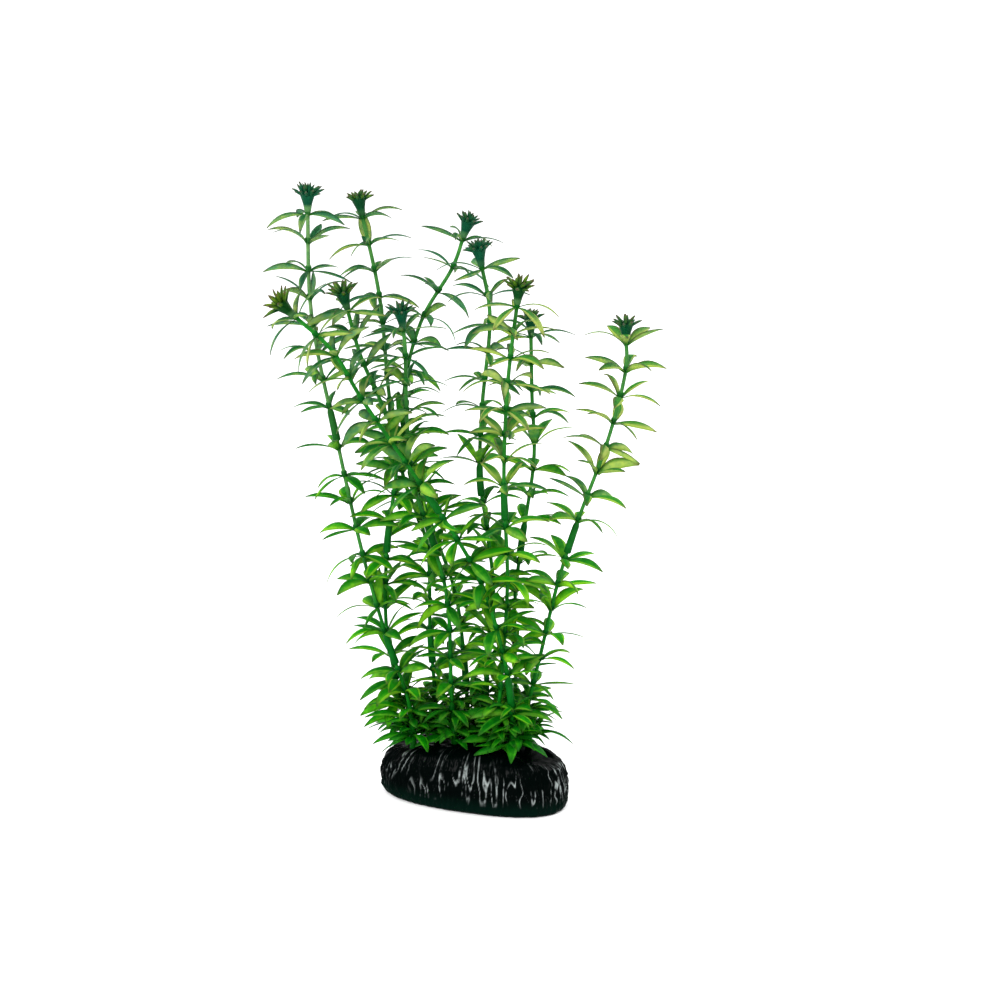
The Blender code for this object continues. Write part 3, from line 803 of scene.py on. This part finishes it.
def groundUnder(spot):
    # The height of the base's top there, or of the floor beside the base
    power, along = base["squareness"], abs(spot[0]) / base["halfLength"]
    size = along ** power + (abs(spot[1]) / (base["halfDepth"] + ground["margin"])) ** power
    return base["height"] * (1 - base["fall"] * min(along, 1.0) ** power) if size < 1 else 0.0


def sunk(root, chord, shares):
    spots = [root + chord * share for share in shares]
    return max(groundUnder(spot) + ground["above"] - spot[2] for spot in spots)


def liftedOff(root, chord):
    tip = root + chord
    if abs(tip[0]) > ground["ends"] * base["halfLength"] or abs(tip[1]) < ground["sides"] * base["halfDepth"]:
        return chord
    lowest = base["height"] * ground["top"] + ground["above"]
    if tip[2] >= lowest:
        return chord
    lifted = np.array((chord[0], chord[1], lowest - root[2]))
    return lifted * np.linalg.norm(chord) / np.linalg.norm(lifted) * ground["shorter"]


# Short leaves that crowd round the foot of each shoot, between the rings of the moulding
footLeaves = {
    "heights": (0.0014, 0.0032, 0.0052, 0.0074, 0.0098, 0.0135, 0.0180),
    "each": 5,
    "turnSpread": 0.2,
    "within": (0.0345, 0.0190),       # their tips stay over this much of the base, each way from its middle
    "out": 0.0011,
    "half": 0.00175,
    "length": 0.0098,
    "longer": (0.85, 1.12),
    "slope": (-14.0, 26.0),
    "raised": 5.0,                    # degrees at a time until it is clear
    "clearAt": (0.3, 0.6, 0.8, 1.0),
    "arch": (0.0020, 0.0005),
    "leastArch": 0.0005,
    "roll": 0.3,
    "sway": 0.0008,
    "tone": (-1.0, 0.4),
}
# A few long ones that hang out at the base's two ends: which shoots have them, and which way
endLeaves = {
    "ends": {"a": -1, "c": -1, "j": 1, "i": 1},
    "heights": (0.0030, 0.0085, 0.0150),
    "turn": (-25, 65),
    "length": 0.0175,
    "longer": (0.85, 1.1),
    "slope": (-24.0, 14.0),
    "raised": 0.0012,
    "clearAt": (0.4, 0.7, 0.9, 1.0),
    "arch": (0.0022, 0.0036),
    "tone": (-0.6, 0.6),
}


def footBlades(section, chance):
    route, short, long, blades = section["route"], footLeaves, endLeaves, []

    def starts(kind):
        return [route.at(route.length - stem["socketDepth"] - height) for height in kind["heights"]]

    def add(root, chord, wing, kind, arch):
        roll = chance.gauss(0, short["roll"])
        sway = chance.gauss(0, kind["sway"]) if "sway" in kind else 0.0
        blades.append(bladeValues(root, chord, wing, short["half"], arch, roll, sway,
                                  chance.uniform(*blade["cup"]), chance.uniform(*kind["tone"])))

    for middle, axis in starts(short):
        phase = chance.uniform(0, tau)
        for k in range(short["each"]):
            turn = (k + eitherWay(chance, short["turnSpread"])) / short["each"]
            outward = awayFrom(axis, phase + tau * turn)
            slope = chance.uniform(*short["slope"])
            length = short["length"] * chance.uniform(*short["longer"])
            root = middle + outward * short["out"]
            for _ in range(ground["tries"]):
                chord = reaching(outward, axis, radians(slope), length)
                if sunk(root, chord, short["clearAt"]) < 0:
                    break
                slope += short["raised"]
            tip = (root + chord) / (*short["within"], 1.0)
            if max(abs(tip[0]), abs(tip[1])) <= 1:
                arch = max(chance.gauss(*short["arch"]), short["leastArch"])
                add(root, chord, np.cross(axis, outward), short, arch)
    end = long["ends"].get(section["node"].split("_")[1])
    for middle, axis in starts(long) if end else ():
        turn = radians(chance.uniform(*long["turn"]))
        outward = unit(np.array((end * cos(turn), -sin(turn), 0.0)))
        slope = radians(chance.uniform(*long["slope"]))
        root, length = middle + outward * short["out"], long["length"] * chance.uniform(*long["longer"])
        chord = reaching(outward, axis, slope, length)
        for _ in range(ground["tries"]):
            if sunk(root, chord, long["clearAt"]) <= 0:
                break
            chord[2] += long["raised"]
        add(root, chord, np.cross(axis, outward), long, chance.uniform(*long["arch"]))
    return blades


# Two broad leaves that hang down against the back of the stem under the crown of shoot b: degrees round
# the stem from the front and their slope, and half width, arch, roll, sway, cup and tone
hangingLeaves = {
    "node": "shoot_b_upper",
    "sides": ((158.0, -85.0), (-166.0, -84.0)),
    "above": 0.0034,                  # they start this much above the top ring
    "out": 0.0008,
    "length": 0.0134,
    "shape": (0.0020, 0.0010, 0.1, 0.0, 0.3, 0.3),
}


def hangingBlades(section):
    middle, axis = section["route"].at(section["whorls"][0] - hangingLeaves["above"])
    blades = []
    for side, slope in np.radians(hangingLeaves["sides"]):
        front = turned(sin(side), -cos(side), 0.0)
        outward = unit(front - axis * np.dot(front, axis))
        chord = reaching(outward, axis, slope, hangingLeaves["length"])
        blades.append(bladeValues(middle + outward * hangingLeaves["out"], chord, np.cross(axis, outward),
                                  *hangingLeaves["shape"], section["sun"]))
    return blades


def mouldedBlades(section, chance):
    blades, sun = [], section["sun"]
    for leaf in leavesOf(section["node"]):
        height = leaf["root"][2]
        wide = (blade["lowWidth"], blade["highWidth"] * (1 + blade["sunWidth"] * sun))
        half = leaf["half"] * (1 + eitherWay(chance, blade["widthSpread"])) * float(
            np.interp(height, blade["widthHeights"], wide))
        arch = max(chance.gauss(blade["arch"], blade["archSpread"]), blade["leastArch"])
        sunny = sun * clamped(height / blade["sunHeight"] - blade["sunStart"])
        blades.append(bladeValues(
            leaf["root"], liftedOff(leaf["root"], leaf["chord"]), leaf["wing"], half, arch,
            chance.gauss(0, blade["roll"]), chance.gauss(0, blade["sway"]), chance.uniform(*blade["cup"]),
            sunny + eitherWay(chance, blade["toneSpread"]), sun))
    return blades


def makeSection(section, tree, materials, chance):
    route, bottom = section["route"], section["bottom"]
    path = []
    for down, radius, tone in filledIn(stationsOf(section)):
        shown = not section["peg"] or down > section["whorls"][0]
        thicker = swelling(section, down) if shown else 0.0
        radius += (stem["footRadius"] - stem["internode"]) * thicker * stem["footShare"]
        path.append((route.point(down), radius, max(tone, stem["footShare"] * thicker)))
    paths = [("isStem", path)]
    if not section["lowest"]:
        out, steps = stem["boreOut"], stem["boreSteps"]
        paths.append(("isBore", [(route.point(bottom + out - (stem["boreDepth"] + out) * k / steps),
                                  stem["boreRadius"], 1.0) for k in range(steps + 1)]))
    blades = mouldedBlades(section, chance)
    if section["lowest"]:
        blades += footBlades(section, chance)
    if section["node"] == hangingLeaves["node"]:
        blades += hangingBlades(section)
    name = section["node"].replace("shoot_", "sprig_")
    piece = grown(name, plantMesh(name, paths, blades, (section["age"], 1.0)), tree, {
        **blade["inputs"], "Hollow": not section["lowest"], "Stem Material": materials["stem"],
        "Blade Material": materials["leaf"]})
    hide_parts(section["node"])
    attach(piece, "root")
    return len(blades)


# A crown: a small cup over the stem's end, and rings of fingers: how many, how far from the middle and
# how high they stand, their slope and their length
crown = {
    "cup": ((-0.0024, 0.00118), (-0.0022, 0.00132), (-0.0008, 0.00150), (0.0006, 0.00178), (0.0022, 0.00228),
            (0.0036, 0.00275), (0.0043, 0.00290), (0.0046, 0.00260), (0.0047, 0.00180)),
    "neckTop": 0.0004,
    "boreRadius": 0.00092,
    "bore": (-0.0030, 0.0004, 4),     # from, to and how many points
    "rings": ((12, 0.0020, 0.0034, 34, 0.0045), (8, 0.0013, 0.0038, 56, 0.0047),
              (4, 0.0005, 0.0040, 80, 0.0044)),
    "turnSpread": 0.18,
    "slopeSpread": 7.0,
    "lengthSpread": 0.14,
    "toneSpread": 0.2,
    "inputs": {"Stem Sides": 20, "Hollow": True, "Blade Sides": 6, "Blade Segments": 6,
               "Blade Thickness": 0.0011},
    "arch": 0.0004,
    "roll": 0.25,
    "fingerCup": 0.1,
}
# Each crown: how yellow its fingers are, their half width, how blunt and how many they are, how dark the
# cup's neck is and how long they are
crownKinds = {
    "a": (0.05, 0.00064, 0.25, 1.0, 0.0, 1.05), "b": (0.55, 0.00078, 0.6, 0.75, 0.8, 0.95),
    "c": (0.60, 0.00084, 0.7, 0.75, 0.7, 1.20), "d": (1.00, 0.00096, 0.8, 0.75, 0.6, 1.35),
    "e": (0.15, 0.00074, 0.4, 0.85, 0.8, 1.00), "f": (0.10, 0.00076, 0.4, 0.85, 0.5, 1.00),
    "g": (0.05, 0.00072, 0.3, 0.9, 0.8, 1.05), "h": (0.85, 0.00086, 0.7, 0.75, 0.5, 1.15),
    "i": (0.45, 0.00080, 0.5, 0.8, 0.8, 0.90), "j": (0.35, 0.00076, 0.4, 0.8, 0.5, 1.00),
}


def makeCrown(letter, route, tree, materials, chance):
    warmth, half, blunt, crowding, neck, longer = crownKinds[letter]
    top, axis = route.at(0.0)

    def onStem(height):
        return top + axis * height if height > 0 else route.point(-height)

    paths = [("isStem", [(onStem(height), radius, neck if height < crown["neckTop"] else 1.0)
                         for height, radius in crown["cup"]]),
             ("isBore", [(onStem(height), crown["boreRadius"], 1.0)
                         for height in np.linspace(*crown["bore"])])]
    blades = []
    for full, away, height, slope, length in crown["rings"]:
        count, phase = round(full * crowding), chance.uniform(0, tau)
        for k in range(count):
            outward = awayFrom(axis, phase + tau * (k + eitherWay(chance, crown["turnSpread"])) / count)
            leaning = radians(slope + chance.gauss(0, crown["slopeSpread"]))
            reach = length * longer * (1 + eitherWay(chance, crown["lengthSpread"]))
            blades.append(bladeValues(
                top + axis * height + outward * away, reaching(outward, axis, leaning, reach),
                np.cross(axis, outward), half, crown["arch"], chance.gauss(0, crown["roll"]), 0.0,
                crown["fingerCup"], warmth + eitherWay(chance, crown["toneSpread"])))
    name = f"tuft_{letter}"
    piece = grown(name, plantMesh(name, paths, blades, tone=warmth), tree, {
        **crown["inputs"], "Blade Blunt": blunt, "Stem Material": materials["crown"],
        "Blade Material": materials["crown"]})
    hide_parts(f"shoot_{letter}_crown")
    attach(piece, "root")


def baseOutline(inset, angle):
    power, leaned = 2 / base["squareness"], inset * (1 - base["lean"] * cos(angle))
    return ((base["halfLength"] - leaned) * copysign(abs(cos(angle)) ** power, cos(angle)),
            (base["halfDepth"] - leaned) * copysign(abs(sin(angle)) ** power, sin(angle)))


# The glaze. A noise has how fine it is across and up, and where up it is read, a span where something
# starts and how fast, and where it ends and how fast.
glaze = {
    "ridge": 0.00070,                 # metres that ridges, swells and the wall stand out by
    "swell": 0.0005,
    "back": 0.0003,
    "lump": 0.017,
    "lumpNoise": (420, 7.0, 40.0),
    "wander": 0.0009,
    "wanderNoise": (130, 4.0, 4.0),
    "ridgeNoise": (470, 1.7, 0.0),
    "ridgeGain": (3.9, 1.2),          # how narrow and how steep they are
    "fineScale": 1.6,
    "fineShift": (7.0, 3.0, 1.0),
    "fineGain": (3.6, 1.4),
    "fineShare": 0.62,
    "swellNoise": (120, 0.8, 11.0),
    "ridgeSpan": (0.0, 0.16, 1.10, 0.16),
    "patchNoise": (150, 2.2, 21.0),
    # The pale crests, with their painted highlight, show more to the right
    "highlightSlant": 0.28,               # more of it to the right
    "patchStart": (-0.16, 0.30),
    "crestStart": (0.58, 0.34),
    "paleAndHighlightSpan": (0.18, 0.14, 0.99, 0.12),
    "topBump": 0.0004,
    "topNoise": (260, 0.0, 3.0),
    "glaze": (0.0002, 0.0011, 0.0009),
    # The grey of the pale crests: thinner glaze, and a painted highlight
    "paleAndHighlight": (0.25, 0.28, 0.275),
    "foot": (0.0004, 0.0058, 0.0036),
    "footLimits": (0.0085, 0.0015),
    "paleAndHighlightSize": 420.0,
    "paleAndHighlightLimits": (0.30, 0.62),
    "roughness": 0.18,
    "specular": 0.009,
    "relief": (0.12, 0.0004, 420.0),
}


def noiseAt(x, y, share, kind):
    across, up, start = glaze[kind]
    return noise.noise(Vector((x * across, y * across, share * up + start)))


def risen(value, start, width):
    return clamped((value - start) / width)


def spanned(value, start, width, end, endWidth):
    return risen(value, start, width) * risen(end, value, endWidth)


def crested(spot, narrow, steep):
    return max(1 - abs(noise.noise(spot)) * narrow, 0.0) ** steep


def glazeRelief(angle, share):
    # Runs of glaze: upright ridges that wander, part and meet, broad swells, and how pale it is there, the
    # pale crests being thinner glaze and partly a painted highlight
    x, y = baseOutline(0.0, angle)
    wander = glaze["wander"] * noiseAt(x, y, share, "wanderNoise")
    across, up, start = glaze["ridgeNoise"]
    spot = Vector(((x + wander) * across, (y + wander) * across, share * up + start))
    fineSpot = spot * glaze["fineScale"] + Vector(glaze["fineShift"])
    fine = glaze["fineShare"] * crested(fineSpot, *glaze["fineGain"])
    crest = max(crested(spot, *glaze["ridgeGain"]), fine)
    swell = noiseAt(x, y, share, "swellNoise")
    paleAndHighlightPatch = noiseAt(x, y, share, "patchNoise") + glaze["highlightSlant"] * x / base["halfLength"]
    fade = spanned(share, *glaze["ridgeSpan"])
    # The crests turn pale, thinner glaze and a painted highlight, in patches that lean to the right
    paleAndHighlight = risen(crest, *glaze["crestStart"]) * risen(paleAndHighlightPatch, *glaze["patchStart"])
    return crest * fade, swell * fade, paleAndHighlight * spanned(share, *glaze["paleAndHighlightSpan"])


def wallPoint(share, angle):
    inset = float(np.interp(share, *zip(*base["profile"])))
    crest, swell, paleAndHighlight = glazeRelief(angle, share)
    x, y = baseOutline(inset - glaze["ridge"] * crest - glaze["swell"] * swell + glaze["back"], angle)
    lump = 1 + glaze["lump"] * noiseAt(x, y, share, "lumpNoise")
    z = base["height"] * share * (1 - base["fall"] * share * cos(angle) ** 2)
    return (x * lump, y * lump, z), paleAndHighlight


def topPoint(share, angle):
    inner = base["profile"][-1][1]
    span = base["halfDepth"] / (1 + base["lean"]) - base["topGap"]
    x, y = baseOutline(inner + (span - inner) * share, angle)
    along = min(abs(x) / (base["halfLength"] - inner), 1.0) ** (base["squareness"] / 2)
    bump = glaze["topBump"] * noiseAt(x, y, 0.0, "topNoise")
    return (x, y, base["height"] * (1 - base["fall"] * along ** 2) + bump), 0.0


def makeBase(materials):
    angles = [tau * k / base["around"] for k in range(base["around"])]
    rings = [[wallPoint(step / base["up"], angle) for angle in angles] for step in range(base["up"] + 1)]
    rings += [[topPoint(step / base["topRings"], angle) for angle in angles]
              for step in range(1, base["topRings"] + 1)]
    builder = bmesh.new()
    paleAndHighlightLayer = builder.verts.layers.float.new("glazePaleAndHighlight")
    below = None
    for points in rings:
        ring = []
        for spot, paleAndHighlight in points:
            corner = builder.verts.new(spot)
            corner[paleAndHighlightLayer] = paleAndHighlight
            ring.append(corner)
        if below is None:
            builder.faces.new(reversed(ring))
        else:
            for k, after in enumerate([*range(1, len(ring)), 0]):
                builder.faces.new((below[k], below[after], ring[after], ring[k]))
        below = ring
    builder.faces.new(below)
    mesh = bpy.data.meshes.new("glazed_foot")
    builder.to_mesh(mesh)
    builder.free()
    mesh.shade_smooth()
    piece = addObject("glazed_foot", mesh)
    mesh.materials.append(materials["base"])
    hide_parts("base")
    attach(piece, "root")


def baseSurface(tree):
    color = mix(tree, ramp(tree, heightAt(tree), glaze["footLimits"]), glaze["glaze"], glaze["foot"])
    broken = ramp(tree, mottle(tree, glaze["paleAndHighlightSize"]), glaze["paleAndHighlightLimits"])
    # Pale crests, partly thinner glaze and partly a painted highlight, broken up by a noise
    color = mix(tree, times(tree, attribute(tree, "glazePaleAndHighlight"), broken), color, glaze["paleAndHighlight"])
    return glossy(tree, glaze, color)


materials = {
    "leaf": newMaterial("leafPlastic", leafSurface),
    "stem": newMaterial("stemPlastic", stemSurface),
    "crown": newMaterial("crownPlastic", crownSurface),
    "base": newMaterial("blackGlaze", baseSurface),
}
report("materials")

sprig = sprigTree()
leafCount = 0
for letter in shoots:
    chance = random.Random(shoots[letter]["seed"])
    sections = sectionsOf(letter)
    for section in sections:
        leafCount += makeSection(section, sprig, materials, chance)
    makeCrown(letter, sections[0]["route"], sprig, materials, chance)
report(f"{leafCount} leaves on {len(shoots)} shoots")

makeBase(materials)
report("base")
